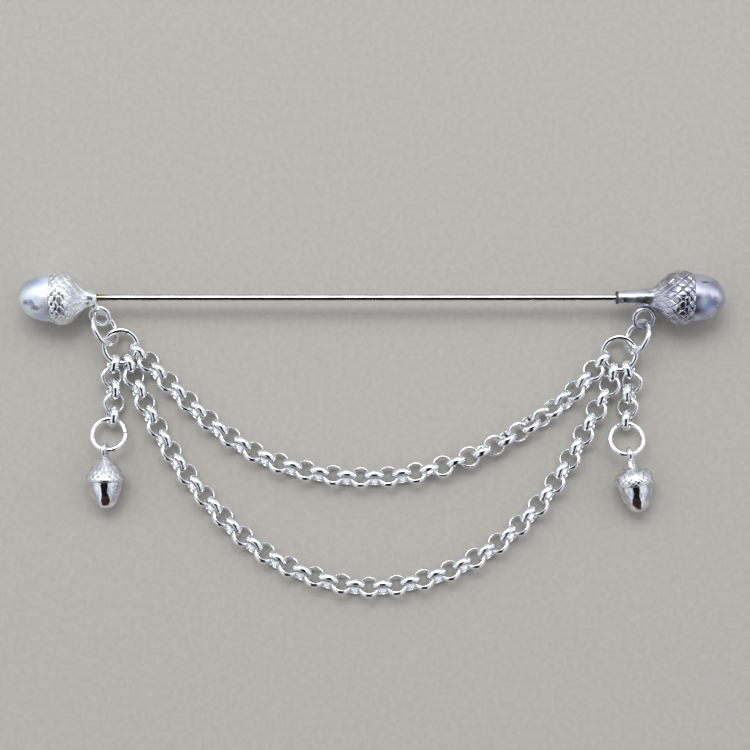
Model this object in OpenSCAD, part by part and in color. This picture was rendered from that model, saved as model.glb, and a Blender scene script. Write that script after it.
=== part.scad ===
// Shawl pin: a steel pin with a cast acorn at each end, two swags of belcher
// chain and two small acorns that hang from short strands. The right acorn is
// the clutch, which pulls off along the pin. It lies on its back on a table:
// X runs along the pin, Y up the front view, Z away from the table. Millimetres.

/* [Pin] */
// Length over both acorns
overall_l = 127; // [126:0.5:128]
// Diameter of the steel pin
pin_d = 1.25; // [1.1:0.05:1.3]

/* [Acorn ends] */
// Diameter of a cap over its ribs
cap_d = 9.86; // [9.7:0.02:10]
// Diameter of a nut
nut_d = 8.7; // [8.5:0.05:8.8]
// Length of the nut that shows
nut_l = 6; // [5.8:0.1:6.2]
// Ribs round a cap in each of the two crossing directions
cap_ribs = 16; // [12:1:18]
// Depth of the pits between the ribs
pit_depth = 0.42; // [0.2:0.02:0.5]
// Length of the left cap from the nut to its neck
left_cap_l = 6.8; // [6.4:0.1:7]
// Length of the clutch's cap from the nut to its neck
clutch_cap_l = 7.8; // [7.4:0.1:8]
// Length of the clutch's sleeve past the neck
sleeve_l = 5.8; // [5.4:0.1:6]

/* [Jump rings] */
// Outside diameter of a jump ring
jump_od = 7; // [6.9:0.05:7.1]
// Diameter of a jump ring's wire
jump_wire = 1; // [0.9:0.05:1.05]
// Outside diameter of a loop soldered under an acorn
loop_od = 4.5; // [4.4:0.05:4.6]
// Diameter of a loop's wire
loop_wire = 0.96; // [0.9:0.02:1]
// Opening left in the split ring of a hanging acorn
split_gap = 0.3; // [0.1:0.05:0.5]

/* [Belcher chain] */
// Outside diameter of a link
link_od = 4.22; // [4.2:0.01:4.24]
// Thickness of a link's half-round band in its middle
link_wall = 0.6; // [0.58:0.01:0.61]
// Thickness of a link's band at its edges
link_edge = 0.14; // [0.12:0.01:0.16]
// Swell of the band's inner face
link_swell = 0.1; // [0.08:0.01:0.12]
// Width of a link's band
link_w = 1.42; // [1.36:0.02:1.44]

/* [Hanging acorns] */
// Diameter of a small cap over its ribs
drop_cap_d = 7.1; // [7:0.05:7.2]
// Diameter of a small nut
drop_nut_d = 6.14; // [6:0.02:6.2]
// Length of the small nut that shows
drop_nut_l = 5.35; // [5.2:0.05:5.5]
// Length of the small cap
drop_cap_l = 3.4; // [3.2:0.05:3.6]
// Outside diameter of the bail
bail_od = 2.6; // [2.55:0.01:2.65]
// Width of the bail's band
bail_w = 1.05; // [0.95:0.05:1.1]

/* [Hidden] */

silver = [0.86, 0.87, 0.9];
bright_silver = [0.92, 0.93, 0.95];
grey_silver = [0.72, 0.7, 0.76];
steel = [0.66, 0.67, 0.56];

smooth = 64;
// How far joined solids run into each other, and cuts run out of them
overlap = 1;

// The pin's axis lies this far above the table and this far up from the middle of the footprint
pin_z = cap_d / 2;
pin_y = 24.73;

// Gap between a nut's root and the cap that holds it, and depth of that seat
seat_gap = 0.1;
seat_depth = 1.5;
seat_wall = 0.35;

// Gap round the pin in its socket and in the clutch
socket_gap = 0.05;
bore_gap = 0.1;
socket_depth = 3;
pin_point_l = 2.4;
bore_end_l = 0.6;

// Share of the cap's length at which it is widest, and how a cap swells towards it
cap_widest = 0.22;
cap_lip = 0.14;
cap_swell = 1.3;
neck_r = 1.62;
// The faceted cap's neck stands this far over the round stem that it meets
neck_over = 0.06;
stem_r = 1.02;
left_stem_l = 1.2;
// Blob of solder between the left stem's end and its loop
solder_r = 0.77;
solder_off = [-0.93, -1.33, -0.62];
solder_turn = [20, 30, 0];
sleeve_mouth_r = 1.12;

// Radius of the pin's end inside the clutch
pin_tip_r = 0.1;

// Nose radius of a nut
nose_r = 3.8;
drop_nose_r = 2.1;

// Facets between two ribs, both ways round and along the cap
rib_steps = 4;
// 1 would space the rows of crossings evenly along the cap
row_evenness = 0.5;
// Share of the cap's length from which the ribs fade towards the neck
fade_from = 0.5;
cap_rows = 3;

drop_cap_widest = 0.15;
drop_cap_lip = 0.07;
// The left small cap is nearly a cone, the right one a bell
left_drop_swell = 0.75;
right_drop_swell = 1.4;
drop_cap_ribs = 12;
drop_cap_rows = 3;
drop_pit_depth = 0.2;
drop_neck_r = 0.8;
drop_stalk_r = 0.55;
drop_seat_depth = 0.9;
bail_wall = 0.45;
bail_edge = 0.25;
bail_swell = 0.05;
bail_to_rim = 5.4;

// Ring poses: centre, plan direction of the level axis, its slope and the tilt about it
left_loop_at = [-49.25, -3.18, 3.05];
left_loop_turn = [-23, 0, 37];
right_loop_at = [49.05, -3.7, 4];
right_loop_turn = [18, 0, 21];
left_link_at = [-48.3, -5.5, 3.45];
left_link_turn = [-61, -7, -62];
right_link_at = [48, -6.95, 3.7];
right_link_turn = [-111, 4, 62];
left_swag_at = [-45.66, -8.72, 2.03];
left_swag_turn = [17, -3.5, 8.4];
right_swag_at = [44.95, -9.98, 2.04];
right_swag_turn = [53, 9, -1];
left_drop_ring_at = [-47.65, -24.65, 3.07];
left_drop_ring_turn = [0, 0, -22];
left_drop_split = 3;
right_drop_ring_at = [46.13, -25.48, 3.03];
right_drop_ring_turn = [0, 0, -23];
right_drop_split = 124;

// Hanging acorns: middle of the cap's rim, turn in plan, droop of the nut and roll of the bail
left_drop_at = [-48.2, -32.8, 3.55];
left_drop_turn = [0, 8, 12];
right_drop_at = [47.5, -33.5, 3.55];
right_drop_turn = [10.5, 8, 3];

// Points that each swag's centre line passes, left to right: x and y from the pin's axis.
// The first and last only steer the ends.
upper_route = [
    [-46.6, -8.6], [-42.57, -9.86], [-36, -16.3], [-28, -23.6], [-18.6, -29.3], [-7, -32.2],
    [5, -32.2], [16.5, -29.2], [27, -23.9], [35.8, -17.8], [41.99, -11.26], [46.5, -7.5]
];
lower_route = [
    [-46.5, -5.8], [-44.28, -11.82], [-41.4, -18.8], [-36.6, -27.7], [-30.4, -36], [-22.6, -44], [-13, -49.7],
    [-1, -52.5], [10.5, -50.8], [20.5, -46.2], [29, -39], [35.2, -30.5], [40.3, -21.2], [43.95, -13.41],
    [43.2, -4.7]
];
// How far the links are rolled about the chain's own line: share of its length, angle
upper_roll = [[0, 64.5], [0.03, 60], [0.56, 57], [1, 162]];
lower_roll = [[0, 68], [0.03, 59], [0.5, 54], [0.9, 65], [1, 73]];
// Every second link stands this much further round
link_cross = 90;
// Links of each swag
upper_links = 40;
lower_links = 51;

// Links of the short strands: x, y, plan direction, tilt
left_strand = [
    [-47.01, -11.83, -105, 69], [-47.4, -14.2, -90, -30], [-47, -16.49, -88, 60],
    [-46.96, -18.92, -94, -28], [-47.14, -21.29, -98, 67]
];
right_strand = [
    [46.65, -12.85, -71, 110], [47.33, -15.2, -86, 27], [46.75, -17.35, -94, 120],
    [46.53, -19.69, -89, 27], [46.34, -22.03, -97, 110]
];

// Radius of a four-centred oval's long arc, and its centre's distance below the axis
function flank_drop(l, r, nose) = (pow(l - nose, 2) - pow(r - nose, 2)) / (2 * (r - nose));

// Radius of a cap over its ribs, at a share t of the way from the nut to the neck
function cap_r(t, r, neck, widest, lip, swell) =
    neck + (r - neck) * (t < widest
        ? 1 - lip * pow(1 - t / widest, 2)
        : 0.5 + 0.5 * cos(180 * pow((t - widest) / (1 - widest), swell)));

// Height of a rib's flank, 1 on the rib and 0 midway between two
rib_power = 1.3;
function rib(x) = pow(1 - 2 * abs(x - round(x)), rib_power);

// Point of a smooth curve through a route's points, where its first and last ones only steer the ends;
// s counts the stretches between points, of which there are spans(p)
function spans(p) = len(p) - 3;
function route_point(p, s) =
    let (i = min(floor(s), spans(p) - 1), f = s - i, a = p[i], b = p[i + 1], c = p[i + 2], d = p[i + 3])
    0.5 * (2 * b + (c - a) * f + (2 * a - 5 * b + 4 * c - d) * f * f + (3 * b - a - 3 * c + d) * f * f * f);

// Running length of a route, sampled at equal steps of s
route_samples = 300;
function route_line(p) = [for (i = [0 : route_samples]) route_point(p, i * spans(p) / route_samples)];
function running(line, i = 1, sum = [0]) =
    i == len(line) ? sum : running(line, i + 1, concat(sum, [sum[i - 1] + norm(line[i] - line[i - 1])]));

// Rest height of a link that is rolled by a, so that its lowest edge just clears the table
link_clear = 0.01;
function dome_r(w, rise) = (w * w / 4 + rise * rise) / (2 * rise);
link_rise = link_wall - link_swell - link_edge;
link_dome = dome_r(link_w, link_rise);
function link_reach(a) = max(
    (link_od / 2 - link_rise) * abs(sin(a)) + link_w / 2 * abs(cos(a)),
    link_dome * abs(cos(a)) < link_w / 2 ? (link_od / 2 - link_dome) * abs(sin(a)) + link_dome : 0);
function link_height(a) = link_clear + max(link_reach(a), link_reach(a - link_cross));

// The short strands' links lie as high as the steepest of them needs
strand_roll = 70;
strand_z = link_height(strand_roll);

// Moves a piece from the pin's own origin to the frame of the whole part
module place() {
    translate([0, pin_y, 0]) children();
}

// Turns a ring: plan direction, slope of the level axis and tilt about it
module turned(at, turn) {
    translate(at) rotate([0, 0, turn[0]]) rotate([0, -turn[1], 0]) rotate([turn[2], 0, 0]) children();
}

module wire_ring(od, wire, split = 0, at_angle = 0) {
    if (split > 0) {
        gap_angle = 2 * asin(split / (od - wire));
        rotate([0, 0, at_angle + gap_angle / 2])
            rotate_extrude(angle = 360 - gap_angle, $fn = smooth)
                translate([(od - wire) / 2, 0]) circle(d = wire, $fn = smooth / 2);
    } else {
        rotate_extrude($fn = smooth) translate([(od - wire) / 2, 0]) circle(d = wire, $fn = smooth / 2);
    }
}

// A ring bent from a half-round band, whose inner face swells a little
module band_ring(od, wall, edge, swell, w) {
    dome = dome_r(w, wall - swell - edge);
    inner = dome_r(w, swell);
    rotate_extrude($fn = smooth) intersection() {
        translate([od / 2 - dome, 0]) circle(r = dome, $fn = smooth * 2);
        translate([od / 2 - wall + inner, 0]) circle(r = inner, $fn = smooth * 4);
        translate([od / 2 - wall, -w / 2]) square([wall, w]);
    }
}

module belcher_link() {
    band_ring(link_od, link_wall, link_edge, link_swell, link_w);
}

// A smooth nut that stands on the plane z = 0, with a root below it for the cap's seat
module nut(l, r, nose, root_r, root_l) {
    k = flank_drop(l, r, nose);
    join = (l - nose) / norm([l - nose, k]) * (r + k);
    rotate_extrude($fn = smooth * 2) union() {
        intersection() {
            translate([-k, 0]) circle(r = r + k, $fn = smooth * 6);
            square([r, join]);
        }
        intersection() {
            translate([0, l - nose]) circle(r = nose, $fn = smooth * 2);
            translate([0, join]) square([r, l]);
        }
        translate([0, -root_l]) square([root_r, root_l + overlap]);
    }
}

// The cast cap as one mesh from its rim at z = 0 down to its neck at z = -l, with crossing ribs and the
// nut's seat
module ribbed_cap(l, r, neck, widest, lip, swell, ribs, rows, depth, seat_r, seat) {
    round_n = ribs * rib_steps;
    row_n = rows * rib_steps;
    // Rows lie closer together by the rim, so that the ribs run out long towards the neck
    share = function (j) row_evenness * j / row_n + (1 - row_evenness) * pow(j / row_n, 2);
    height = function (i, j)
        let (a = i / rib_steps, b = j / rib_steps, t = share(j),
            fade = j == 0 || j == row_n ? 0 : t < fade_from ? 1 : cos(90 * (t - fade_from) / (1 - fade_from)))
        depth * fade * (1 - max(rib(a + b), rib(a - b)));
    outer = [for (j = [0 : row_n], i = [0 : round_n - 1])
        let (q = 360 * i / round_n, rr = cap_r(share(j), r, neck, widest, lip, swell) - height(i, j))
        [rr * cos(q), rr * sin(q), -l * share(j)]];
    inner = [for (z = [0, -seat], i = [0 : round_n - 1])
        let (q = 360 * i / round_n) [seat_r * cos(q), seat_r * sin(q), z]];
    points = concat(outer, inner, [[0, 0, -seat], [0, 0, -l]]);
    in_0 = len(outer);
    in_1 = in_0 + round_n;
    next = function (i) (i + 1) % round_n;
    skin = [for (j = [0 : row_n - 1], i = [0 : round_n - 1])
        let (a = j * round_n + i, b = j * round_n + next(i), c = a + round_n, d = b + round_n)
        each ((i - j) % rib_steps == 0 ? [[a, b, d], [a, d, c]] : [[a, b, c], [b, d, c]])];
    rim = [for (i = [0 : round_n - 1]) each [[in_0 + i, next(i), i], [in_0 + i, in_0 + next(i), next(i)]]];
    wall = [for (i = [0 : round_n - 1])
        each [[in_1 + i, in_0 + next(i), in_0 + i], [in_1 + i, in_1 + next(i), in_0 + next(i)]]];
    bottom = [for (i = [0 : round_n - 1]) [len(points) - 2, in_1 + next(i), in_1 + i]];
    last = row_n * round_n;
    end = [for (i = [0 : round_n - 1]) [len(points) - 1, last + i, last + next(i)]];
    polyhedron(points, concat(skin, rim, wall, bottom, end));
}

module big_cap(l) {
    ribbed_cap(l, cap_d / 2, neck_r + neck_over, cap_widest, cap_lip, cap_swell, cap_ribs, cap_rows,
        pit_depth, nut_d / 2 - seat_wall + seat_gap, seat_depth);
}

module big_nut() {
    nut(nut_l, nut_d / 2, nose_r, nut_d / 2 - seat_wall, seat_depth - seat_gap);
}

// Stands an acorn along the pin: its rim's plane is at x, and side is -1 on the left and 1 on the right
module along_pin(x, side) {
    place() translate([x, 0, pin_z]) rotate([0, side * 90, 0]) children();
}

left_rim_x = -overall_l / 2 + nut_l;
right_rim_x = overall_l / 2 - nut_l;
left_stem_x = left_rim_x + left_cap_l + left_stem_l;
sleeve_mouth_x = right_rim_x - clutch_cap_l - sleeve_l;
nut_gap = 0.06;

module pin_shaft() {
    start = left_stem_x - socket_depth + socket_gap;
    straight = sleeve_mouth_x + sleeve_l - start;
    color(steel) place() translate([start, 0, pin_z]) rotate([0, 90, 0]) {
        cylinder(h = straight, d = pin_d, $fn = smooth);
        translate([0, 0, straight]) cylinder(h = pin_point_l, d1 = pin_d, d2 = 2 * pin_tip_r, $fn = smooth);
    }
}

module left_finial_cap() {
    color(bright_silver) difference() {
        union() {
            along_pin(left_rim_x, -1) {
                big_cap(left_cap_l);
                translate([0, 0, -left_cap_l - left_stem_l])
                    cylinder(h = left_stem_l + overlap, r1 = stem_r, r2 = neck_r, $fn = smooth);
            }
            place() turned(left_loop_at, left_loop_turn) wire_ring(loop_od, loop_wire);
            place() translate([left_stem_x, 0, pin_z] + solder_off) rotate(solder_turn)
                sphere(r = solder_r, $fn = smooth / 2);
        }
        place() translate([left_stem_x - socket_depth, 0, pin_z]) rotate([0, 90, 0])
            cylinder(h = socket_depth + overlap, d = pin_d + 2 * socket_gap, $fn = smooth);
    }
}

module left_finial_nut() {
    color(bright_silver) along_pin(left_rim_x - nut_gap, -1) big_nut();
}

module clutch_cap() {
    bore_l = sleeve_l + pin_point_l + bore_end_l;
    color(grey_silver) difference() {
        union() {
            along_pin(right_rim_x, 1) {
                big_cap(clutch_cap_l);
                translate([0, 0, -clutch_cap_l - sleeve_l])
                    cylinder(h = sleeve_l + overlap, r1 = sleeve_mouth_r, r2 = neck_r, $fn = smooth);
            }
            place() turned(right_loop_at, right_loop_turn) wire_ring(loop_od, loop_wire);
        }
        place() translate([sleeve_mouth_x - overlap, 0, pin_z]) rotate([0, 90, 0])
            cylinder(h = bore_l + overlap, d = pin_d + 2 * bore_gap, $fn = smooth);
    }
}

module clutch_nut() {
    color(grey_silver) along_pin(right_rim_x + nut_gap, 1) big_nut();
}

module left_link_ring() {
    color(bright_silver) place() turned(left_link_at, left_link_turn) wire_ring(jump_od, jump_wire);
}

module right_link_ring() {
    color(bright_silver) place() turned(right_link_at, right_link_turn) wire_ring(jump_od, jump_wire);
}

module left_swag_ring() {
    color(bright_silver) place() turned(left_swag_at, left_swag_turn) wire_ring(jump_od, jump_wire);
}

module right_swag_ring() {
    color(bright_silver) place() turned(right_swag_at, right_swag_turn) wire_ring(jump_od, jump_wire);
}

module left_drop_ring() {
    color(bright_silver) place() turned(left_drop_ring_at, left_drop_ring_turn)
        wire_ring(jump_od, jump_wire, split_gap, left_drop_split);
}

module right_drop_ring() {
    color(bright_silver) place() turned(right_drop_ring_at, right_drop_ring_turn)
        wire_ring(jump_od, jump_wire, split_gap, right_drop_split);
}

// Stretch of a route, counted as s, over which a link's direction is taken
look_ahead = 0.05;

// A swag: its links stand at equal steps along the route, turned a quarter from one to the next
module swag(route, count, rolls) {
    line = route_line(route);
    run = running(line);
    total = run[route_samples];
    samples = [for (i = [0 : route_samples]) i];
    at_length = [for (i = samples) [run[i], i * spans(route) / route_samples]];
    for (k = [0 : count - 1]) {
        f = k / (count - 1);
        s = lookup(f * total, at_length);
        here = route_point(route, s);
        ahead = route_point(route, min(s + look_ahead, spans(route)))
            - route_point(route, max(s - look_ahead, 0));
        roll = lookup(f, rolls);
        place() turned([here[0], here[1], link_height(roll)],
            [atan2(ahead[1], ahead[0]), 0, roll - (k % 2) * link_cross]) belcher_link();
    }
}

module upper_chain() {
    color(silver) swag(upper_route, upper_links, upper_roll);
}

module lower_chain() {
    color(silver) swag(lower_route, lower_links, lower_roll);
}

// Link number k of a short strand, which runs down the front view
module strand_link(strand, k) {
    row = strand[k - 1];
    color(silver) place() turned([row[0], row[1], strand_z], [row[2], 0, row[3]]) belcher_link();
}

// Stands a hanging acorn on the middle of its rim, with the nut away from the pin
module hanging(at, turn) {
    place() translate(at) rotate([0, 0, turn[0]]) rotate([90 + turn[1], 0, 0]) children();
}

module drop_cap(at, turn, swell) {
    color(silver) hanging(at, turn) {
        ribbed_cap(drop_cap_l, drop_cap_d / 2, drop_neck_r + neck_over, drop_cap_widest, drop_cap_lip,
            swell, drop_cap_ribs, drop_cap_rows, drop_pit_depth,
            drop_nut_d / 2 - seat_wall + seat_gap, drop_seat_depth);
        translate([0, 0, bail_od / 2 - bail_wall / 2 - bail_to_rim])
            cylinder(h = bail_to_rim - drop_cap_l - bail_od / 2 + bail_wall,
                r1 = drop_stalk_r, r2 = drop_neck_r, $fn = smooth / 2);
        translate([0, 0, -bail_to_rim]) rotate([0, 90, turn[2]])
            band_ring(bail_od, bail_wall, bail_edge, bail_swell, bail_w);
    }
}

module drop_nut(at, turn) {
    color(bright_silver) hanging(at, turn) translate([0, 0, nut_gap])
        nut(drop_nut_l, drop_nut_d / 2, drop_nose_r, drop_nut_d / 2 - seat_wall, drop_seat_depth - seat_gap);
}

module left_drop_cap() { drop_cap(left_drop_at, left_drop_turn, left_drop_swell); }
module left_drop_nut() { drop_nut(left_drop_at, left_drop_turn); }
module right_drop_cap() { drop_cap(right_drop_at, right_drop_turn, right_drop_swell); }
module right_drop_nut() { drop_nut(right_drop_at, right_drop_turn); }

pin_shaft();
left_finial_cap();
left_finial_nut();
clutch_cap();
clutch_nut();
left_link_ring();
right_link_ring();
left_swag_ring();
right_swag_ring();
left_drop_ring();
right_drop_ring();
upper_chain();
lower_chain();
strand_link(left_strand, 1);  // left_drop_link_1
strand_link(left_strand, 2);  // left_drop_link_2
strand_link(left_strand, 3);  // left_drop_link_3
strand_link(left_strand, 4);  // left_drop_link_4
strand_link(left_strand, 5);  // left_drop_link_5
strand_link(right_strand, 1);  // right_drop_link_1
strand_link(right_strand, 2);  // right_drop_link_2
strand_link(right_strand, 3);  // right_drop_link_3
strand_link(right_strand, 4);  // right_drop_link_4
strand_link(right_strand, 5);  // right_drop_link_5
left_drop_cap();
left_drop_nut();
right_drop_cap();
right_drop_nut();
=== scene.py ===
import math

import bmesh
import bpy
import numpy as np
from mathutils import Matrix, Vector


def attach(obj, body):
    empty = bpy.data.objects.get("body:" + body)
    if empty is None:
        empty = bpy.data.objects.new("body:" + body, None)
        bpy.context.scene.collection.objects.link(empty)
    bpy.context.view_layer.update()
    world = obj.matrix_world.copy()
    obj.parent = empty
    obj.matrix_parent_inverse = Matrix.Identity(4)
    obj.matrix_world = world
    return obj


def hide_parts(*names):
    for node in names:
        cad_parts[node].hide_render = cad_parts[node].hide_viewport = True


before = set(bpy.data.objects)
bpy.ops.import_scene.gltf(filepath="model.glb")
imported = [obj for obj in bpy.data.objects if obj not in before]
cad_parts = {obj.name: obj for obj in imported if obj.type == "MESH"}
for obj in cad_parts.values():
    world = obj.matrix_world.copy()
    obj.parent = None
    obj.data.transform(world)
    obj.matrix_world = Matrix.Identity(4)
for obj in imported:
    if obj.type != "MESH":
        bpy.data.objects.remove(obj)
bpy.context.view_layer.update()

MM = 0.001
BODY = "root"

# Sizes and places as in the part's source, in millimetres. A loop or a hanging acorn has a place, whose y
# is from the pin's axis, and a turn in degrees.
PIN_Y = 24.73
PIN_Z = 4.93
LEFT_RIM_X = -57.5
RIGHT_RIM_X = 57.5
CAP_R = 4.93
LEFT_CAP_L = 6.8
RIGHT_CAP_L = 7.8
NECK_R = 1.62
SEAT = (4.1, 1.5)
LEFT_STEM_L = 1.2
LEFT_STEM_R = 1.02
SLEEVE_L = 5.8
SLEEVE_MOUTH_R = 1.12
LOOP_OD = 4.5
LOOP_WIRE = 0.96
LEFT_LOOP = ((-49.25, -3.18, 3.05), (-23, 0, 37))
RIGHT_LOOP = ((49.05, -3.7, 4), (18, 0, 21))
LEFT_DROP = ((-48.2, -32.8, 3.55), (0, 8, 12))
RIGHT_DROP = ((47.5, -33.5, 3.55), (10.5, 8, 3))
STRAND_LINKS = 5
SMALL_CAP_R = 3.55
STALK_R = 0.55
BAIL_R = 1.3
BAIL_WALL = 0.45
BAIL_W = 1.05
BAIL_TO_RIM = 5.4


def smooth(low, high, x):
    """0 below low and 1 above high, with a soft step between them."""
    t = np.clip((x - low) / (high - low), 0, 1)
    return t * t * (3 - 2 * t)


WAVES = 14
WAVE_PACES = (0.6, 1.7)
WAVE_PEAK = 5.5


def wave_noise(points, scale, seed):
    """Smooth noise from a sum of tilted waves, about -1 to 1, at points in millimetres."""
    rng = np.random.default_rng(seed)
    total = np.zeros(len(points))
    for _ in range(WAVES):
        direction = rng.normal(size=3)
        direction /= np.linalg.norm(direction)
        pace = rng.uniform(*WAVE_PACES) * 2 * math.pi / scale
        total += np.sin(points @ direction * pace + rng.uniform(0, 2 * math.pi))
    return total / WAVE_PEAK


# Building blocks of the materials

# Values of noise between which a patch begins and ends
PATCH_EDGES = (0.35, 0.65)
WIDE_EDGES = (0.3, 0.7)


def new_material(name):
    mat = bpy.data.materials.new(name)
    mat.use_nodes = True
    nodes = mat.node_tree.nodes
    return mat, nodes, mat.node_tree.links, nodes["Principled BSDF"]


def noise_node(nodes, links, coords, scale, detail=3.0, stretch=(1, 1, 1)):
    """Noise of so many lumps a metre; a small stretch draws them out along that axis."""
    mapping = nodes.new("ShaderNodeMapping")
    mapping.inputs["Scale"].default_value = stretch
    links.new(coords, mapping.inputs["Vector"])
    node = nodes.new("ShaderNodeTexNoise")
    node.inputs["Scale"].default_value = scale
    node.inputs["Detail"].default_value = detail
    links.new(mapping.outputs["Vector"], node.inputs["Vector"])
    return node.outputs["Fac"]


def ramp(nodes, links, value, low, high, to_low, to_high):
    """A soft step from to_low, where value is low, to to_high, where it is high."""
    node = nodes.new("ShaderNodeMapRange")
    node.interpolation_type = "SMOOTHSTEP"
    node.inputs["From Min"].default_value = low
    node.inputs["From Max"].default_value = high
    node.inputs["To Min"].default_value = to_low
    node.inputs["To Max"].default_value = to_high
    links.new(value, node.inputs["Value"])
    return node.outputs["Result"]


def math_node(nodes, links, kind, *values):
    node = nodes.new("ShaderNodeMath")
    node.operation = kind
    for value, socket in zip(values, node.inputs):
        if isinstance(value, (int, float)):
            socket.default_value = value
        else:
            links.new(value, socket)
    return node.outputs[0]


def vector_node(nodes, links, kind, vector, values=None):
    node = nodes.new("ShaderNodeVectorMath")
    node.operation = kind
    links.new(vector, node.inputs[0])
    if values is not None:
        node.inputs[1].default_value = values
    return node.outputs["Value" if kind == "LENGTH" else "Vector"]


def mix_colour(nodes, links, factor, a, b):
    node = nodes.new("ShaderNodeMix")
    node.data_type = "RGBA"
    links.new(factor, node.inputs["Factor"])
    for value, socket in ((a, node.inputs["A"]), (b, node.inputs["B"])):
        if isinstance(value, tuple):
            socket.default_value = (*value, 1)
        else:
            links.new(value, socket)
    return node.outputs["Result"]


def blend(nodes, links, noise, a, b):
    """Two colours in soft patches, as the noise falls or rises past its middle."""
    return mix_colour(nodes, links, ramp(nodes, links, noise, *PATCH_EDGES, 0, 1), a, b)


def bump(nodes, links, height, strength, distance, under=None):
    node = nodes.new("ShaderNodeBump")
    node.inputs["Strength"].default_value = strength
    node.inputs["Distance"].default_value = distance * MM
    links.new(height, node.inputs["Height"])
    if under is not None:
        links.new(under, node.inputs["Normal"])
    return node.outputs["Normal"]


# A spot's edge, as distances from its centre in its own radii, and how far the noise shifts it
SPOT_EDGES = (0.95, 1.8)
SPOT_RAGGED = 1.6


def stain_and_reflection(nodes, links, coords, smear, centre, radii, strength):
    """Strength of a soft ellipsoidal spot, for stains and for painted reflections, with a ragged edge; its
    place and radii are in millimetres.
    """
    shift = vector_node(nodes, links, "SUBTRACT", coords, tuple(c * MM for c in centre))
    scaled = vector_node(nodes, links, "MULTIPLY", shift, tuple(1 / (r * MM) for r in radii))
    away = vector_node(nodes, links, "LENGTH", scaled)
    ragged = math_node(nodes, links, "MULTIPLY_ADD", smear, SPOT_RAGGED, away)
    return ramp(nodes, links, ragged, *SPOT_EDGES, strength, 0)


# Sizes and heights of the silver's fine detail, in millimetres
GRAIN_SIZE = 0.12
GRAIN_HEIGHT = 0.004
SCRATCH_SIZE = 0.5
SCRATCH_HEIGHT = 0.008
SCRATCH_STRETCH = (1, 0.09, 0.6)
SMEAR_SIZE = 0.9
CAST_HEIGHT = 0.12

# Lumps of cloud in a cast size, and the spread of the polish as shares of a metal's roughness
CLOUD_SHARE = 0.55
POLISH_SPREAD = (0.75, 1.3)
FINE_STRENGTH = 0.15
# Black and extra roughness of the painted shade and reflection that the "pit" attribute lays on.
PAINTED_SHADE_COLOUR = (0.03, 0.03, 0.04)
PAINTED_SHADE_ROUGHER = 0.45


def silver(name, bright, dull, rough, cast, cast_size, stains_and_reflections=()):
    """Metal with a cloudy colour, uneven polish and a slightly wavy surface, painted dark as shade where
    "pit" says.

    cast is the strength of its waves and cast_size the size of its clouds. A spot, a stain or a painted
    reflection, is its centre, radii, strength, colour and how much rougher it makes the metal.
    """
    mat, nodes, links, shader = new_material(name)
    coords = nodes.new("ShaderNodeTexCoord").outputs["Object"]
    cloud = noise_node(nodes, links, coords, CLOUD_SHARE / (cast_size * MM), 4)
    grain = noise_node(nodes, links, coords, 1 / (GRAIN_SIZE * MM), 2)
    lines = noise_node(nodes, links, coords, 1 / (SCRATCH_SIZE * MM), 3, SCRATCH_STRETCH)
    smear = noise_node(nodes, links, coords, 1 / (SMEAR_SIZE * MM), 5)
    pit = nodes.new("ShaderNodeAttribute")
    pit.attribute_name = "pit"
    dark = pit.outputs["Fac"]
    base = blend(nodes, links, cloud, dull, bright)
    polish = ramp(nodes, links, cloud, *WIDE_EDGES, *(rough * share for share in POLISH_SPREAD))
    for centre, radii, strength, colour, rougher in stains_and_reflections:
        there = stain_and_reflection(nodes, links, coords, smear, centre, radii, strength)
        base = mix_colour(nodes, links, there, base, colour)
        polish = math_node(nodes, links, "MULTIPLY_ADD", there, rougher, polish)
    # Painted shade and reflection: black where the "pit" attribute says, in holes, grooves, seats, bores
    # and dents.
    base = mix_colour(nodes, links, dark, base, PAINTED_SHADE_COLOUR)
    polish = math_node(nodes, links, "MULTIPLY_ADD", dark, PAINTED_SHADE_ROUGHER, polish)
    waves = bump(nodes, links, cloud, cast, CAST_HEIGHT)
    fine = bump(nodes, links, lines, FINE_STRENGTH, SCRATCH_HEIGHT, waves)
    links.new(base, shader.inputs["Base Color"])
    links.new(polish, shader.inputs["Roughness"])
    links.new(bump(nodes, links, grain, FINE_STRENGTH, GRAIN_HEIGHT, fine), shader.inputs["Normal"])
    shader.inputs["Metallic"].default_value = 1.0
    return mat


# The pin's steel: fine lines along x, blotches, and the stretch of x in which the olive patches fade, in
# millimetres
DRAWN_SIZE = 0.25
DRAWN_STRETCH = (0.03, 1, 1)
BLOTCH_SIZE = 3
STEEL_DULL = (0.7, 0.71, 0.68)
STEEL_BRIGHT = (0.86, 0.87, 0.85)
STEEL_ROUGHNESS = (0.06, 0.13)
OLIVE_DARK = (0.05, 0.06, 0.015)
OLIVE_LIGHT = (0.42, 0.45, 0.12)
OLIVE_PATCHES = (0.4, 0.6)
OLIVE_EDGE = (-48.4, -44.9)
OLIVE_ROUGHER = 0.15


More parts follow.
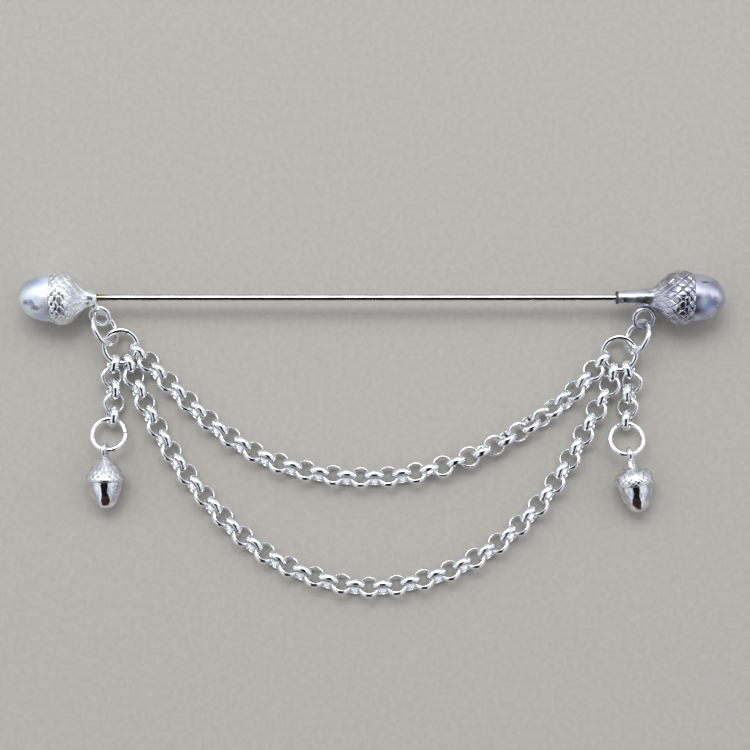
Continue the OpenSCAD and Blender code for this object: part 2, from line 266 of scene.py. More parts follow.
def steel_wire(name):
    """Drawn steel with fine lines along it, and dark olive patches by the left stem."""
    mat, nodes, links, shader = new_material(name)
    coords = nodes.new("ShaderNodeTexCoord").outputs["Object"]
    along = nodes.new("ShaderNodeSeparateXYZ")
    links.new(coords, along.inputs[0])
    lines = noise_node(nodes, links, coords, 1 / (DRAWN_SIZE * MM), 3, DRAWN_STRETCH)
    blotch = noise_node(nodes, links, coords, 1 / (BLOTCH_SIZE * MM), 3)
    steel = blend(nodes, links, blotch, STEEL_DULL, STEEL_BRIGHT)
    edge = math_node(nodes, links, "MULTIPLY_ADD", blotch, BLOTCH_SIZE * MM, along.outputs["X"])
    near_stem = ramp(nodes, links, edge, *(x * MM for x in OLIVE_EDGE), 1, 0)
    patches = ramp(nodes, links, lines, *OLIVE_PATCHES, 0, 1)
    olive_tint = mix_colour(nodes, links, patches, OLIVE_DARK, OLIVE_LIGHT)
    polish = ramp(nodes, links, lines, *WIDE_EDGES, *STEEL_ROUGHNESS)
    polish = math_node(nodes, links, "MULTIPLY_ADD", near_stem, OLIVE_ROUGHER, polish)
    links.new(mix_colour(nodes, links, near_stem, steel, olive_tint), shader.inputs["Base Color"])
    links.new(polish, shader.inputs["Roughness"])
    links.new(bump(nodes, links, lines, FINE_STRENGTH, SCRATCH_HEIGHT), shader.inputs["Normal"])
    shader.inputs["Metallic"].default_value = 1.0
    return mat


# The metals. A spot's radii, of a stain or a painted reflection, are in millimetres too.

# Dark blue and dark grey paint reflections of the person and phone on the nuts, the grey also a real
# scratch; pale blue paints reflected sky; the pale sleeve colour paints its sheen.
REFLECTION_BLUE = (0.16, 0.18, 0.32)
REFLECTION_AND_SCRATCH_GREY = (0.1, 0.09, 0.15)
SKY_REFLECTION_BLUE = (0.45, 0.6, 0.9)
TEAL = (0.26, 0.33, 0.32)
SLEEVE_SHEEN = (0.78, 0.79, 0.86)

bright_satin = silver(
    "bright_satin", (0.92, 0.95, 1.0), (0.74, 0.81, 0.94), rough=0.44, cast=0.6, cast_size=2.0,
    stains_and_reflections=(
        # Painted reflections: two dark blue patches for the person and phone, pale blue for sky at the top
        # and bottom.
        ((-61.4, PIN_Y - 1.0, PIN_Z + 3.0), (1.9, 0.8, 2.5), 0.8, REFLECTION_BLUE, 0.1),
        ((-59.9, PIN_Y - 1.9, PIN_Z + 3.0), (1.7, 0.8, 2.5), 0.75, REFLECTION_BLUE, 0.1),
        ((-60.0, PIN_Y + 2.6, PIN_Z + 3.0), (3.2, 1.3, 3.0), 0.5, SKY_REFLECTION_BLUE, 0.0),
        ((-59.5, PIN_Y - 3.6, PIN_Z + 2.5), (3.2, 1.2, 3.0), 0.5, SKY_REFLECTION_BLUE, 0.0),
    ),
)
grey_satin = silver(
    "grey_satin", (0.7, 0.69, 0.81), (0.46, 0.46, 0.6), rough=0.3, cast=0.5, cast_size=1.5,
    stains_and_reflections=(
        # Painted reflections: dark grey and dark blue patches for the person and phone, pale blue for sky;
        # the last is a real scratch.
        ((60.5, PIN_Y - 0.9, PIN_Z + 3.0), (2.2, 1.6, 2.5), 0.9, REFLECTION_AND_SCRATCH_GREY, 0.1),
        ((59.2, PIN_Y - 2.1, PIN_Z + 3.0), (1.4, 0.9, 2.5), 0.7, REFLECTION_BLUE, 0.1),
        ((59.0, PIN_Y - 1.6, PIN_Z + 3.0), (3.4, 2.4, 3.0), 0.35, SKY_REFLECTION_BLUE, 0.0),
        ((59.2, PIN_Y + 2.6, PIN_Z + 3.2), (1.8, 0.28, 0.9), 0.8, REFLECTION_AND_SCRATCH_GREY, 0.0),
    ),
)
nut_mirror = silver(
    "nut_mirror", (0.95, 0.96, 0.98), (0.6, 0.61, 0.66), rough=0.06, cast=0.45, cast_size=0.8
)
polished = silver(
    "polished_silver", (0.95, 0.96, 0.97), (0.88, 0.89, 0.92), rough=0.05, cast=0.3, cast_size=0.8
)
chain_metal = silver(
    "chain_silver", (0.98, 0.99, 1.0), (0.91, 0.93, 0.96), rough=0.1, cast=0.3, cast_size=0.6
)
cap_bright = silver(
    "cap_bright", (0.97, 0.99, 1.0), (0.87, 0.9, 0.96), rough=0.28, cast=0.4, cast_size=0.8
)
cap_grey = silver(
    "cap_grey", (0.72, 0.72, 0.8), (0.38, 0.38, 0.47), rough=0.16, cast=0.45, cast_size=0.8,
    stains_and_reflections=(
        # A paler colour over the sleeve paints in its bright sheen; the metal there is rougher as well.
        ((46.5, PIN_Y, PIN_Z), (7.0, 4.0, 4.0), 0.9, SLEEVE_SHEEN, 0.2),
        ((49.0, PIN_Y - 0.1, PIN_Z + 1.3), (2.6, 1.3, 1.6), 0.85, TEAL, 0.05),
    ),
)
small_cap = silver(
    "small_cap", (0.95, 0.96, 0.97), (0.74, 0.75, 0.8), rough=0.26, cast=0.5, cast_size=0.5
)
shaft_steel = steel_wire("shaft_steel")


# Nodes of the part that keep their own mesh


def dress(node, mat):
    """Gives a node of the part a material."""
    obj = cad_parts[node]
    obj.data.materials.clear()
    obj.data.materials.append(mat)
    obj.data.shade_smooth()


dress("pin_shaft", shaft_steel)
dress("left_finial_nut", bright_satin)
dress("clutch_nut", grey_satin)
dress("left_drop_nut", nut_mirror)
dress("right_drop_nut", nut_mirror)
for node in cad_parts:
    if node.endswith("_ring"):
        dress(node, polished)


# Meshes of the pieces. A shape is points in millimetres, faces and how dark each point is, as painted
# shade.


def mesh_object(name, shape, mat, node):
    """Makes a shape a piece of the visual model, in the place of a node."""
    points, faces, painted_shade = shape
    mesh = bpy.data.meshes.new(name)
    mesh.from_pydata([tuple(p * MM) for p in points], [], faces)
    mesh.update()
    # How dark each point is goes into the "pit" attribute, which the metals paint as shade.
    attribute = mesh.attributes.new("pit", "FLOAT", "POINT")
    attribute.data.foreach_set("value", np.asarray(painted_shade, np.float32))
    work = bmesh.new()
    work.from_mesh(mesh)
    bmesh.ops.recalc_face_normals(work, faces=work.faces)
    work.to_mesh(mesh)
    work.free()
    mesh.materials.append(mat)
    mesh.shade_smooth()
    obj = bpy.data.objects.new(name, mesh)
    bpy.context.scene.collection.objects.link(obj)
    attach(obj, BODY)
    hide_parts(node)


def join(shapes):
    points, faces, painted_shade, first = [], [], [], 0
    for p, f, q in shapes:
        points.append(p)
        faces += [tuple(v + first for v in face) for face in f]
        painted_shade.append(q)
        first += len(p)
    return np.concatenate(points), faces, np.concatenate(painted_shade)


def grid_faces(rows, n, closed=False):
    """Quads between rows of n points each, which close round; closed joins the last row to the first."""
    faces = []
    for j in range(rows if closed else rows - 1):
        a = j * n
        b = (j + 1) % rows * n
        for i in range(n):
            k = (i + 1) % n
            faces.append((a + i, b + i, b + k, a + k))
    return faces


def full_turn(steps):
    """Angles of even steps round a circle, without the last one, which is the first again."""
    return np.arange(steps) * 2 * math.pi / steps


def turn_matrix(turn):
    """Turns a ring as in the part's source: plan direction, slope of the level axis and tilt about it."""
    plan, slope, tilt = (math.radians(t) for t in turn)
    about_x = np.array([
        [1, 0, 0],
        [0, math.cos(tilt), -math.sin(tilt)],
        [0, math.sin(tilt), math.cos(tilt)],
    ])
    about_y = np.array([
        [math.cos(slope), 0, -math.sin(slope)],
        [0, 1, 0],
        [math.sin(slope), 0, math.cos(slope)],
    ])
    about_z = np.array([
        [math.cos(plan), -math.sin(plan), 0],
        [math.sin(plan), math.cos(plan), 0],
        [0, 0, 1],
    ])
    return about_z @ about_y @ about_x


def revolve(section, centre, across, ahead, axis, steps):
    """Turns a closed outline of (radius, height) round an axis."""
    rings = []
    for q in full_turn(steps):
        out = math.cos(q) * across + math.sin(q) * ahead
        rings.append(centre + section[:, :1] * out + section[:, 1:] * axis)
    points = np.concatenate(rings)
    return points, grid_faces(steps, len(section), closed=True), np.zeros(len(points))


LOOP_STEPS = 96
WIRE_STEPS = 24


def wire_loop(pose, od, wire):
    """A closed ring of round wire."""
    at, turn = pose
    v = full_turn(WIRE_STEPS)
    section = np.stack([(od - wire) / 2 + wire / 2 * np.cos(v), wire / 2 * np.sin(v)], -1)
    matrix = turn_matrix(turn)
    centre = np.array(at) + (0, PIN_Y, 0)
    return revolve(section, centre, matrix[:, 0], matrix[:, 1], matrix[:, 2], LOOP_STEPS)


OUTER_STEPS = 15
INNER_STEPS = 9


def band_section(outer, inner, half_w, swell):
    """Outline of a half-round band: two half ellipses, the inner one as deep as the inner face swells."""
    out = np.linspace(-math.pi / 2, math.pi / 2, OUTER_STEPS, endpoint=False)
    back = np.linspace(math.pi / 2, 1.5 * math.pi, INNER_STEPS, endpoint=False)
    middle = inner + swell
    r = np.concatenate([middle + (outer - middle) * np.cos(out), middle + swell * np.cos(back)])
    return np.stack([r, half_w * np.sin(np.concatenate([out, back]))], -1)


# The links: each loose solid of a chain's node gives the place and size of one link

LINK_SWELL = 0.12
LINK_STEPS = 56
SAME_POINT = 1e-3


def islands(node):
    """Corner points of each loose solid of a node, in millimetres."""
    work = bmesh.new()
    work.from_mesh(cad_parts[node].data)
    bmesh.ops.remove_doubles(work, verts=work.verts, dist=SAME_POINT * MM)
    seen = set()
    for first in work.verts:
        if first in seen:
            continue
        seen.add(first)
        group = [first]
        for vert in group:
            for edge in vert.link_edges:
                other = edge.other_vert(vert)
                if other not in seen:
                    seen.add(other)
                    group.append(other)
        yield np.array([v.co for v in group]) / MM
    work.free()


def belcher_link(points):
    """A half-round link with rounded rims, in the place of a sharp-edged one."""
    _, _, axes = np.linalg.svd(points - points.mean(axis=0), full_matrices=False)
    spans = points @ axes.T
    centre = (spans.max(axis=0) + spans.min(axis=0)) / 2
    spans = spans - centre
    radii = np.hypot(spans[:, 0], spans[:, 1])
    section = band_section(radii.max(), radii.min(), np.abs(spans[:, 2]).max(), LINK_SWELL)
    return revolve(section, centre @ axes, axes[0], axes[1], axes[2], LINK_STEPS)


def chain(name, node):
    mesh_object(name, join([belcher_link(p) for p in islands(node)]), chain_metal, node)


chain("upper_swag", "upper_chain")
chain("lower_swag", "lower_chain")
for side in ("left", "right"):
    for k in range(1, STRAND_LINKS + 1):
        chain(f"{side}_strand_link_{k}", f"{side}_drop_link_{k}")

# The cast pattern of a cap. Widths are shares of the spacing between its lines, depths are shares of the
# cap's "deep", and noise sizes are in millimetres.

WOBBLE = 0.08
WOBBLE_SIZE = 2.4
RAGGED = 0.06
RAGGED_SIZE = 0.7
RAGGED_LINES = 0.4
UNEVEN_SIZE = 1.5
NET_W = 0.13
NET_DEPTH = 0.3
LINE_CORE = 0.02
LINE_UNEVEN = 0.25
PANEL_EDGES = (0.08, 0.5)
PANEL_DEPTH = 0.06
PIT_UNEVEN = 0.06
PIT_WALL = 0.07
PIT_CORNERS = (0.24, 0.36)
PIT_DEPTH = 0.64
PLEAT_W = 0.42
PLEAT_DEPTH = 0.2
FINE_PLEAT_W = 0.4
FINE_PLEAT_DEPTH = 0.1
FINE_PLEAT_SWAY = 0.35
NET_LOST_TO_PLEATS = 0.75
LINES_LOST_TO_PLEATS = 0.4

# Lengths along the cap, as shares of it, over which the pits end, the pleats begin and all of it ends
PITS_END = 0.1
PLEATS_BEGIN = 0.3
PATTERN_END = (0.84, 1.0)


def to_line(x):
    """Distance to the nearest whole number, 0 to 0.5."""
    return np.abs(x - np.round(x))


def relief(cap, a, t, view, skin, seed):
    """Depth of the cast pattern, as a share, and how dark it is, which is painted shade and reflection.

    a counts the ribs round the cap, t runs from the rim, 0, to the neck, 1, and view is the angle from
    straight up. A line runs where a + b or a - b is a whole number; b counts the rows from the rim.
    """
    first, second = cap["rows"]
    b = (-first + np.sqrt(first**2 + 4 * second * t)) / (2 * second)
    wobble = WOBBLE * wave_noise(skin, WOBBLE_SIZE, seed)
    ragged = RAGGED * wave_noise(skin, RAGGED_SIZE, seed + 1)
    uneven = wave_noise(skin, UNEVEN_SIZE, seed + 2)
    facing = np.exp(-(((view - cap["dark_view"]) / cap["dark_spread"]) ** 2))
    end = 1 - smooth(*PATTERN_END, t)
    start = smooth(0.0, cap["plain_rim"], t)
    to_pleats = smooth(cap["pleats_from"], cap["pleats_from"] + PLEATS_BEGIN, t)

    one = to_line(a + b + wobble + RAGGED_LINES * ragged)
    two = to_line(a - b + wobble - RAGGED_LINES * ragged)
    near = np.minimum(one, two)
    net = 1 - smooth(0.0, NET_W, near)
    panel = smooth(*PANEL_EDGES, near)
    # The lines are painted grey with shade, by line_dark.
    line = end * (1 - smooth(LINE_CORE, cap["line"], near)) * (1 - LINE_UNEVEN + LINE_UNEVEN * uneven)
    line *= 1 - LINES_LOST_TO_PLEATS * to_pleats

    crossing = np.sqrt(one * two) + ragged
    open_to = cap["pit"] + PIT_UNEVEN * uneven
    hole = 1 - smooth(open_to, open_to + PIT_WALL, crossing)
    hole *= 1 - smooth(*PIT_CORNERS, np.maximum(one, two))
    # The holes are cut, and painted black with shade and reflection, only round dark_view, where they face
    # the camera.
    hole *= facing * (1 - smooth(cap["pits_to"], cap["pits_to"] + PITS_END, t))

    run = a + cap["twist"] * b
    pleat = smooth(0.0, PLEAT_W, to_line(run + wobble))
    sway = FINE_PLEAT_SWAY * np.sin(3 * a + seed)
    fine = smooth(0.0, FINE_PLEAT_W, to_line(2 * run + sway + wobble))

    lattice = NET_DEPTH * net + PANEL_DEPTH * (1 - panel) + PIT_DEPTH * hole
    pleats = PLEAT_DEPTH * pleat + FINE_PLEAT_DEPTH * fine
    share = start * end * ((1 - NET_LOST_TO_PLEATS * to_pleats) * lattice + to_pleats * pleats)
    return share, np.clip(np.maximum(hole, cap["line_dark"] * line) * start, 0, 1)


# The body of a cap, in millimetres

# Radius of the tiny ring that closes a surface on the axis
CLOSED_R = 0.01
# How dark the nut's seat is: painted shade where the nut sits under the cap's rim
SEAT_DARK = 0.6
# 1 would space the rows of points evenly; above it they lie closer by the rim
ROW_CROWDING = 1.1
# Share of the cap's radius below which the pattern grows shallower
SHALLOW_BELOW = 0.65
LUMP_SIZE = 2.0
# Shares of the cap's length between which its lumps grow to their full height
LUMPS_GROW = (0.1, 0.4)
STEM_ROWS = 24
STEM_LUMP_SIZE = 1.6
STEM_LUMP_SHARE = 0.6
KNURL_WAVES = 2.5
DARK_MOUTH_L = 0.3


def cap_radius(t, cap):
    """Radius over the ribs, at a share t of the way from the rim to the neck."""
    rise = 1 - cap["lip"] * (1 - np.clip(t / cap["widest_at"], 0, 1)) ** 2
    fall_t = np.clip((t - cap["widest_at"]) / (1 - cap["widest_at"]), 0, 1)
    if "dome" in cap:
        fall = (1 - fall_t ** cap["dome"][0]) ** cap["dome"][1]
    else:
        fall = 0.5 + 0.5 * np.cos(math.pi * fall_t ** cap["swell"])
    return cap["neck_r"] + (cap["r"] - cap["neck_r"]) * np.where(t < cap["widest_at"], rise, fall)


def seat_rows(cap):
    """Rows from the middle of the nut's seat to the rim: place along the cap, radius and darkness, which is
    painted shade.
    """
    rim_r = float(cap_radius(np.array(0.0), cap))
    seat_r, depth = cap["seat"]
    return (
        (depth, CLOSED_R, SEAT_DARK),
        (depth, seat_r, SEAT_DARK),
        (0.3, seat_r, SEAT_DARK),
        (0.06, seat_r + 0.03, SEAT_DARK),
        (0.0, seat_r + 0.1, 0.4),
        (0.0, rim_r - 0.12, 0.1),
        (0.03, rim_r - 0.03, 0.0),
    )


def end_rows(last, stem):
    """Rows that close the stem, like seat_rows, or that run into its bore and close that."""
    if "bore_r" not in stem:
        return ((last, CLOSED_R, 0.0),)
    mouth = stem.get("mouth", 0.0)
    bottom = last - stem["bore_l"]
    # The stem's mouth and its bore are painted dark, as shade inside the hole.
    return (
        (last + 0.02, stem["end_r"] - 0.05, mouth),
        (last + 0.02, stem["bore_r"] + 0.04, 0.5),
        (last - 0.03, stem["bore_r"], 0.8),
        (bottom, stem["bore_r"], 1.0),
        (bottom, CLOSED_R, 1.0),
    )


def acorn_cap(pose, cap, stem, seed, n=352, rows=150):
    """A cap with its stem: n points round it, from the nut's seat over the rim to the stem's end."""
    at, neck, across, up = pose
    view = full_turn(n)
    facing = (view + math.pi) % (2 * math.pi) - math.pi
    a = cap["ribs"] * (np.degrees(view) - cap["phase"]) / 360
    points, painted_shade = [], []

    def skin_at(along, r):
        return np.stack([np.full(n, along), r * np.sin(view), r * np.cos(view)], -1)

    def add(along, r, pit):
        ring = skin_at(along, np.broadcast_to(r, view.shape))
        points.append(np.array(at) + ring[:, :1] * neck + ring[:, 1:2] * across + ring[:, 2:] * up)
        painted_shade.append(np.broadcast_to(pit, view.shape))

    for row in seat_rows(cap):
        add(*row)
    for t in (np.arange(1, rows + 1) / rows) ** ROW_CROWDING:
        r = float(cap_radius(np.array(t), cap))
        skin = skin_at(t * cap["length"], r)
        share, pit = relief(cap, a, np.full(n, t), facing, skin, seed)
        depth = share * cap["deep"] * min(1.0, r / (SHALLOW_BELOW * cap["r"]))
        lump = cap["lumps"] * wave_noise(skin, LUMP_SIZE, seed + 5) * smooth(*LUMPS_GROW, t)
        add(t * cap["length"], np.minimum(r - depth + lump, cap["r"]), pit)
    for f in np.arange(1, STEM_ROWS + 1) / STEM_ROWS:
        r = cap["neck_r"] + (stem["end_r"] - cap["neck_r"]) * f
        along = cap["length"] + f * stem["length"]
        middle = math.sin(math.pi * f)
        noise = wave_noise(skin_at(along, r), STEM_LUMP_SIZE, seed + 9)
        lump = STEM_LUMP_SHARE * cap["lumps"] * noise * middle
        knurl = cap["knurl"] * np.cos(2 * math.pi * (a / 2 + KNURL_WAVES * f)) * middle
        # The stem's last stretch is painted dark by its "mouth", as shade round the hole.
        at_mouth = (1 - f) * stem["length"] < DARK_MOUTH_L
        add(along, r + lump + knurl, stem.get("mouth", 0.0) if at_mouth else 0.0)
    for row in end_rows(cap["length"] + stem["length"], stem):
        add(*row)
    return np.concatenate(points), grid_faces(len(points), n), np.concatenate(painted_shade)


def dent(shape, centre, radius, depth, dark):
    """Presses a small hollow into the surface, towards the pin's axis, and paints it dark with shade."""
    points, faces, painted_shade = shape
    away = np.linalg.norm(points - np.array(centre), axis=1)
    w = np.exp(-((away / radius) ** 2))
    axis = np.stack([np.zeros(len(points)), PIN_Y - points[:, 1], PIN_Z - points[:, 2]], -1)
    axis /= np.maximum(np.linalg.norm(axis, axis=1), 1e-6)[:, None]
    return points + axis * (w * depth)[:, None], faces, np.maximum(painted_shade, w * dark)


# A blob's lumps, their height and size as shares of its radius, and the angle left open at its poles
BLOB_STEPS = 48
BLOB_LUMPS = 0.12
BLOB_LUMP_SIZE = 1.1
POLE = 0.02


def blob(centre, size, seed):
    """A lumpy ellipsoid, for solder."""
    u = full_turn(BLOB_STEPS)
    v = np.linspace(POLE, math.pi - POLE, BLOB_STEPS // 2)
    vv, uu = np.meshgrid(v, u, indexing="ij")
    unit = np.stack([np.sin(vv) * np.cos(uu), np.sin(vv) * np.sin(uu), np.cos(vv)], -1).reshape(-1, 3)
    r = 1 + BLOB_LUMPS * wave_noise(unit, BLOB_LUMP_SIZE, seed)
    points = unit * r[:, None] * np.array(size) + np.array(centre)
    return points, grid_faces(len(v), BLOB_STEPS), np.zeros(len(points))


# The two large caps. Keys of a cap: "widest_at", "pits_to", "pleats_from" and "plain_rim" are shares of its
# length; "lip" and "swell", or "dome", shape its outline as in cap_radius; "rows" are the two terms of a
# row's place along it; "pit" and "line" are widths of the pattern; "deep", "lumps" and "knurl" are heights;
# the pits show, painted black with shade and reflection, round the angle "dark_view", and "line_dark" is
# how dark the lines are painted with shade. A stem's "mouth" is how dark its last stretch is painted with
# shade.

BIG_CAP = {
    "r": CAP_R, "neck_r": NECK_R + 0.03, "widest_at": 0.22, "lip": 0.14, "swell": 1.3, "seat": SEAT,
    "ribs": 16, "rows": (0.15, 0.033), "deep": 0.45, "pit": 0.09, "pits_to": 0.32, "pleats_from": 0.45,
    "lumps": 0.035, "plain_rim": 0.04, "knurl": 0.0, "line": 0.09,
    "dark_view": math.radians(-18), "dark_spread": math.radians(34),
}
LEFT_CAP = dict(BIG_CAP, length=LEFT_CAP_L, phase=-6.9, twist=0.6, line_dark=0.42)
RIGHT_CAP = dict(BIG_CAP, length=RIGHT_CAP_L, phase=5.3, twist=0.9, line_dark=0.85)
LEFT_STEM = {"length": LEFT_STEM_L, "end_r": LEFT_STEM_R, "bore_r": 0.675, "bore_l": 2.9}
SLEEVE = {"length": SLEEVE_L, "end_r": SLEEVE_MOUTH_R, "bore_r": 0.725, "bore_l": 8.8, "mouth": 0.85}

EAST = np.array([1.0, 0, 0])
NORTH = np.array([0, 1.0, 0])
ZENITH = np.array([0, 0, 1.0])


def finial_cap():
    """The left cap, with the dent beside its neck, painted dark with shade, and the solder of its loop."""
    pose = ((LEFT_RIM_X, PIN_Y, PIN_Z), EAST, NORTH, ZENITH)
    body = acorn_cap(pose, LEFT_CAP, LEFT_STEM, seed=3)
    body = dent(body, (-50.75, PIN_Y - 0.35, PIN_Z + 1.5), radius=0.42, depth=0.3, dark=0.9)
    loop = wire_loop(LEFT_LOOP, LOOP_OD, LOOP_WIRE)
    solder = blob((-50.3, PIN_Y - 1.25, PIN_Z - 0.55), (0.95, 0.72, 0.7), seed=4)
    return join([body, loop, solder])


def clutch_cap():
    """The right cap, with the nick at its sleeve's mouth and its worn neck, both painted dark with shade,
    and the solder of its loop.
    """
    pose = ((RIGHT_RIM_X, PIN_Y, PIN_Z), -EAST, NORTH, ZENITH)
    body = acorn_cap(pose, RIGHT_CAP, SLEEVE, seed=8)
    body = dent(body, (44.55, PIN_Y - 0.55, PIN_Z + 0.95), radius=0.3, depth=0.25, dark=1.0)
    body = dent(body, (50.4, PIN_Y - 0.3, PIN_Z + 1.5), radius=0.9, depth=0.07, dark=0.35)
    loop = wire_loop(RIGHT_LOOP, LOOP_OD, LOOP_WIRE)
    solder = blob((49.3, PIN_Y - 1.75, PIN_Z - 0.75), (0.9, 0.5, 0.55), seed=6)
    return join([body, loop, solder])


mesh_object("finial_cap_left", finial_cap(), cap_bright, "left_finial_cap")
mesh_object("clutch_cap_cast", clutch_cap(), cap_grey, "clutch_cap")

# The two small caps, each with its stalk, which ends inside the band of its bail

SMALL_CAP = {
    "r": SMALL_CAP_R, "widest_at": 0.12, "lip": 0.07, "seat": (2.82, 0.9),
    "ribs": 18, "rows": (0.2, 0.06), "deep": 0.16, "pit": 0.02, "pits_to": 0.4, "pleats_from": 0.55,
    "lumps": 0.03, "plain_rim": 0.22, "knurl": 0.05, "line": 0.09, "line_dark": 0.75,
    "dark_view": 0.0, "dark_spread": math.radians(70), "twist": 0.7,
}
STALK_END = 4.38
BAIL_SWELL = 0.11
BAIL_STEPS = 64


def hanging_cap(drop, length, neck_r, dome, phase, seed):
    """A small cap with its stalk and bail, posed as in the part's source."""
    at, (plan, droop, roll) = drop
    spin = turn_matrix((plan, 0, 90 + droop))
    at = np.array(at) + (0, PIN_Y, 0)
    pose = (at, -spin[:, 2], spin[:, 0], spin[:, 1])
    cap = dict(SMALL_CAP, length=length, neck_r=neck_r, dome=dome, phase=phase)
    stalk = {"length": STALK_END - length, "end_r": STALK_R}
    body = acorn_cap(pose, cap, stalk, seed, n=216, rows=90)
    section = band_section(BAIL_R, BAIL_R - BAIL_WALL, BAIL_W / 2, BAIL_SWELL)
    roll = math.radians(roll)
    axis = math.cos(roll) * spin[:, 0] + math.sin(roll) * spin[:, 1]
    ahead = np.cross(axis, spin[:, 2])
    bail = revolve(section, at - BAIL_TO_RIM * spin[:, 2], spin[:, 2], ahead, axis, BAIL_STEPS)
    return join([body, bail])


cone_cap = hanging_cap(LEFT_DROP, length=4.1, neck_r=0.6, dome=(1.4, 1), phase=25, seed=5)
dome_cap = hanging_cap(RIGHT_DROP, length=3.2, neck_r=0.85, dome=(2, 0.6), phase=35, seed=7)
mesh_object("hanging_cap_left", cone_cap, small_cap, "left_drop_cap")
mesh_object("hanging_cap_right", dome_cap, small_cap, "right_drop_cap")

# The studio. A band of the sky is two angles from straight up, in degrees and positive towards the top of
# the picture, and how soft its edges are.

BRIGHT_BAND = (18, 50, 8)
PHONE_BAND = (-60, 9, 3)
PERSON_BAND = (-110, -57, 5)
# How far to the sides the phone and the person reach, as a slope, and how much the clouds shift that
DARK_REACH = (0.6, 0.72)
DARK_RAGGED = 0.35
SKY_LOW = (0.74, 0.78, 0.86)
SKY_HIGH = (1.0, 1.03, 1.08)
SKY_HIGH_FROM = 0.55
CLOUD_SCALE = 3.5
CLOUD_EDGES = (0.42, 0.62)
CLOUD_STRENGTH = 0.5
CLOUD_GREY = (0.3, 0.33, 0.44)
WINDOW_WHITE = (1.6, 1.63, 1.68)
PHONE_BLACK = (0.012, 0.012, 0.014)
PERSON_BROWN = (0.05, 0.024, 0.026)
SKY_STRENGTH = 0.88


def world_light():
    """A bright sky with the dark shapes that a photographer and a phone put into polished metal."""
    world = bpy.data.worlds.new("studio")
    world.use_nodes = True
    bpy.context.scene.world = world
    nodes, links = world.node_tree.nodes, world.node_tree.links
    background = nodes["Background"]
    direction = nodes.new("ShaderNodeTexCoord").outputs["Generated"]
    axes = nodes.new("ShaderNodeSeparateXYZ")
    links.new(direction, axes.inputs[0])
    east, north, up = (axes.outputs[i] for i in range(3))
    clouds = noise_node(nodes, links, direction, CLOUD_SCALE, 4)
    south = math_node(nodes, links, "MULTIPLY", north, -1.0)
    ahead = math_node(nodes, links, "MAXIMUM", up, south)
    aside = math_node(nodes, links, "DIVIDE", math_node(nodes, links, "ABSOLUTE", east), ahead)
    aside = math_node(nodes, links, "MULTIPLY_ADD", clouds, DARK_RAGGED, aside)
    lean = math_node(nodes, links, "ARCTAN2", north, up)

    def between(low, high, soft):
        above = ramp(nodes, links, lean, math.radians(low - soft), math.radians(low + soft), 0, 1)
        below = ramp(nodes, links, lean, math.radians(high - soft), math.radians(high + soft), 1, 0)
        return math_node(nodes, links, "MULTIPLY", above, below)

    height = ramp(nodes, links, up, 0.0, SKY_HIGH_FROM, 0, 1)
    colour = mix_colour(nodes, links, height, SKY_LOW, SKY_HIGH)
    shade = ramp(nodes, links, clouds, *CLOUD_EDGES, 0.0, CLOUD_STRENGTH)
    colour = mix_colour(nodes, links, shade, colour, CLOUD_GREY)
    colour = mix_colour(nodes, links, between(*BRIGHT_BAND), colour, WINDOW_WHITE)
    narrow = ramp(nodes, links, aside, *DARK_REACH, 1, 0)
    phone = math_node(nodes, links, "MULTIPLY", between(*PHONE_BAND), narrow)
    person = math_node(nodes, links, "MULTIPLY", between(*PERSON_BAND), narrow)
    colour = mix_colour(nodes, links, phone, colour, PHONE_BLACK)
    colour = mix_colour(nodes, links, person, colour, PERSON_BROWN)
    links.new(colour, background.inputs["Color"])
    background.inputs["Strength"].default_value = SKY_STRENGTH


# The soft light, which aims at the origin: metres and watts
SOFTBOX_AT = (-0.06, 0.34, 0.55)
SOFTBOX_SIZE = (0.42, 0.22)
SOFTBOX_POWER = 1.6
SOFTBOX_COLOUR = (1.0, 0.99, 0.97)


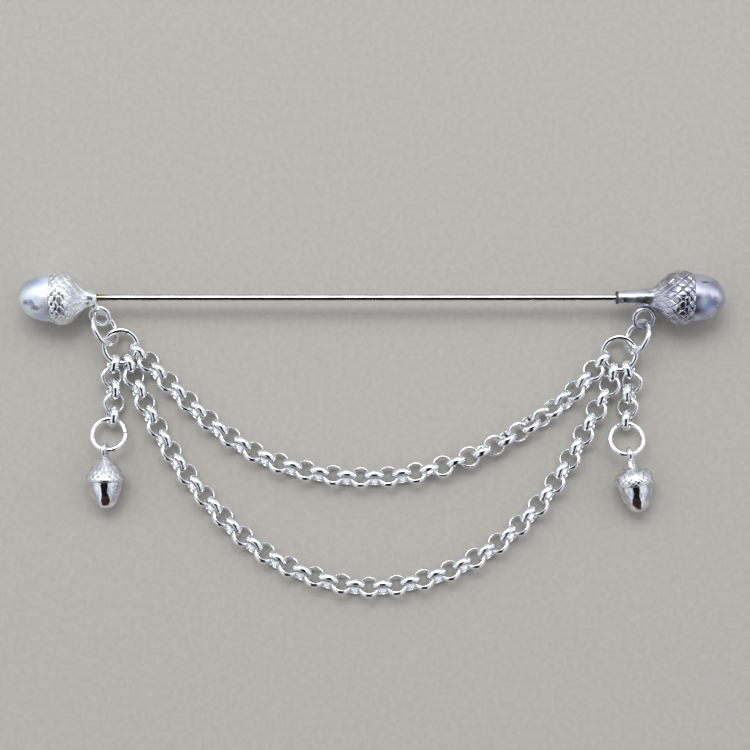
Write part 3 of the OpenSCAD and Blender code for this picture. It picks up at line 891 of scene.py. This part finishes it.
def softbox():
    data = bpy.data.lights.new("softbox", "AREA")
    data.shape = "RECTANGLE"
    data.size, data.size_y = SOFTBOX_SIZE
    data.energy = SOFTBOX_POWER
    data.color = SOFTBOX_COLOUR
    obj = bpy.data.objects.new("softbox", data)
    bpy.context.scene.collection.objects.link(obj)
    obj.location = SOFTBOX_AT
    obj.rotation_euler = (-Vector(SOFTBOX_AT)).to_track_quat("-Z", "Y").to_euler()


# Half the floor's width in metres, its fibres a metre, and how far it lies below the table's height
FLOOR_HALF = 4
FIBRES = 900
FLOOR_DROP = 0.02 * MM
FLOOR_DARK = (0.46, 0.44, 0.4)
FLOOR_PALE = (0.5, 0.475, 0.435)
FLOOR_ROUGHNESS = 0.9


def floor():
    """A plain sheet of pale card."""
    mesh = bpy.data.meshes.new("floor")
    s = FLOOR_HALF
    mesh.from_pydata([(-s, -s, 0), (s, -s, 0), (s, s, 0), (-s, s, 0)], [], [(0, 1, 2, 3)])
    mat, nodes, links, shader = new_material("floor_card")
    coords = nodes.new("ShaderNodeTexCoord").outputs["Object"]
    fibre = ramp(nodes, links, noise_node(nodes, links, coords, FIBRES, 4), *WIDE_EDGES, 0, 1)
    links.new(mix_colour(nodes, links, fibre, FLOOR_DARK, FLOOR_PALE), shader.inputs["Base Color"])
    shader.inputs["Roughness"].default_value = FLOOR_ROUGHNESS
    mesh.materials.append(mat)
    obj = bpy.data.objects.new("floor", mesh)
    bpy.context.scene.collection.objects.link(obj)
    obj.location.z = -FLOOR_DROP


# The camera looks straight down: its place in millimetres, then the picture's width and the focal length
# in pixels
CAMERA_AT = (0.54, PIN_Y - 13.914, 304.95)
PICTURE_W = 750
FOCAL_LENGTH = 1666.667


def camera():
    data = bpy.data.cameras.new("camera")
    data.lens_unit = "FOV"
    data.angle = 2 * math.atan(PICTURE_W / 2 / FOCAL_LENGTH)
    data.clip_start = 0.001
    data.clip_end = 10
    obj = bpy.data.objects.new("camera", data)
    bpy.context.scene.collection.objects.link(obj)
    obj.location = tuple(c * MM for c in CAMERA_AT)
    bpy.context.scene.camera = obj


world_light()
softbox()
floor()
camera()

bpy.context.scene.view_settings.view_transform = "Standard"
bpy.context.scene.view_settings.look = "None"
